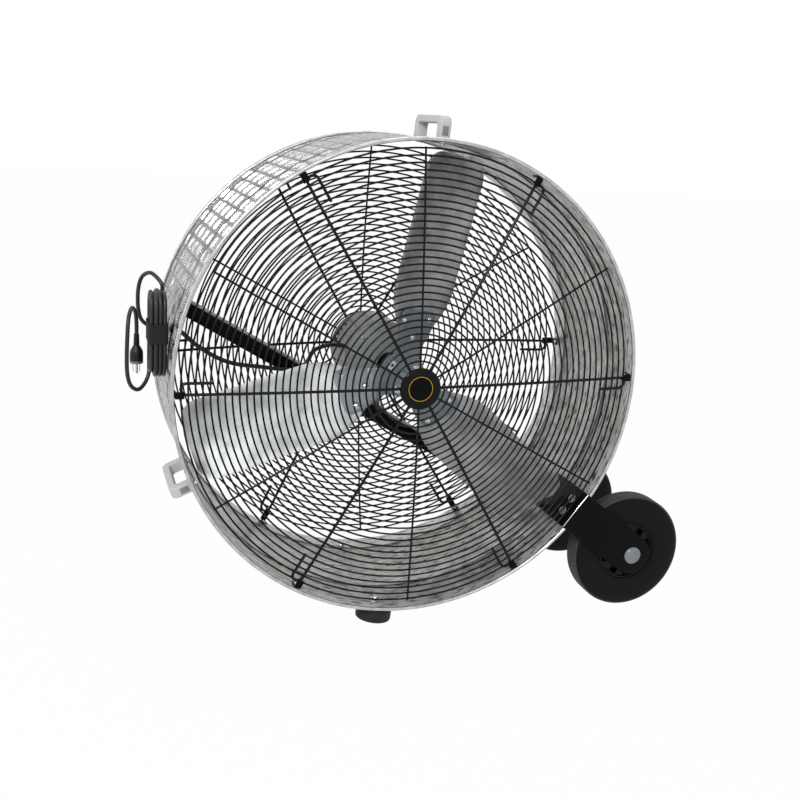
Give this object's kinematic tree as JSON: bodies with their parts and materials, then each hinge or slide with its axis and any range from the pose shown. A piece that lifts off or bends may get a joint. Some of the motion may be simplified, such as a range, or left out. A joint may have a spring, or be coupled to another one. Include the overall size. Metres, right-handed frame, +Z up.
{
  "type": "drum fan",
  "caption": "Portable drum fan: an open round shell with domed wire guards holds a bladed rotor on an electric motor; wheels, feet, D handles and a coiled cord are on the outside.",
  "frame": {"origin": "centre of the bounding box's base, on the floor that the tyres and the feet stand on", "axes": "+Y is the drum's axis, from the front guard to the rear guard; +X points to the wheels; +Z is up"},
  "size_m": [1.209, 0.4658, 1.0385],
  "materials": {
    "tread_sheet": "satin, tread pattern",
    "black_wire": "satin",
    "black_gloss": "gloss",
    "zinc": "bright zinc",
    "grey_plastic": "satin",
    "black_paint": "satin",
    "cap_grey": "satin",
    "motor_grey": "satin",
    "cord_grey": "matte",
    "rubber": "matte",
    "tyre": "matte",
    "wheel_black": "satin",
    "black_plastic": "satin",
    "blade_grey": "satin",
    "spider_grey": "satin"
  },
  "bodies": {
    "frame": {"drum_shell": "tread_sheet", "front_guard": "black_wire", "rear_guard": "black_wire", "guard_badge": "black_gloss", "front_clip_1": "zinc", "front_clip_2": "zinc", "front_clip_3": "zinc", "front_clip_4": "zinc", "front_clip_5": "zinc", "front_clip_6": "zinc", "rear_clip_1": "zinc", "rear_clip_2": "zinc", "rear_clip_3": "zinc", "rear_clip_4": "zinc", "rear_clip_5": "zinc", "rear_clip_6": "zinc", "handle_top": "grey_plastic", "handle_side": "grey_plastic", "handle_screw_top_1": "zinc", "handle_screw_top_2": "zinc", "handle_screw_side_1": "zinc", "handle_screw_side_2": "zinc", "wheel_bracket_front": "black_paint", "wheel_bracket_rear": "black_paint", "bracket_bolt_front_1": "zinc", "bracket_bolt_front_2": "zinc", "bracket_bolt_rear_1": "zinc", "bracket_bolt_rear_2": "zinc", "wheel_axle": "zinc", "axle_tube": "zinc", "axle_cap_front": "cap_grey", "axle_cap_rear": "cap_grey", "motor_channel": "black_paint", "channel_bolt_1": "zinc", "channel_bolt_2": "zinc", "motor_shell": "motor_grey", "motor_front_bell": "motor_grey", "motor_rear_bell": "motor_grey", "motor_lead": "cord_grey", "foot_front": "rubber", "foot_rear": "rubber", "foot_bolt_front": "zinc", "foot_bolt_rear": "zinc", "cord_gland": "black_plastic", "cord_feed": "cord_grey", "cord_hank": "cord_grey", "cord_tail": "cord_grey", "cord_plug": "black_plastic", "cord_strap": "black_plastic"},
    "rotor": {"rotor_shaft": "zinc", "spider": "spider_grey", "rotor_hub": "zinc", "slinger": "black_plastic", "blade_1": "blade_grey", "blade_2": "blade_grey", "blade_3": "blade_grey"},
    "wheel_front": {"wheel_rim_front": "wheel_black", "tyre_front": "tyre"},
    "wheel_rear": {"wheel_rim_rear": "wheel_black", "tyre_rear": "tyre"}
  },
  "joints": [
    {"name": "rotor_spin", "type": "hinge", "parent": "frame", "child": "rotor", "pos_m": [-0.08392, -0.10235, 0.51574], "axis": [0, 1, 0], "continuous": true},
    {"name": "wheel_front_spin", "type": "hinge", "parent": "frame", "child": "wheel_front", "pos_m": [0.43952, -0.17135, 0.127], "axis": [0, 1, 0], "continuous": true},
    {"name": "wheel_rear_spin", "type": "hinge", "parent": "frame", "child": "wheel_rear", "pos_m": [0.43952, 0.13665, 0.127], "axis": [0, 1, 0], "continuous": true}
  ]
}
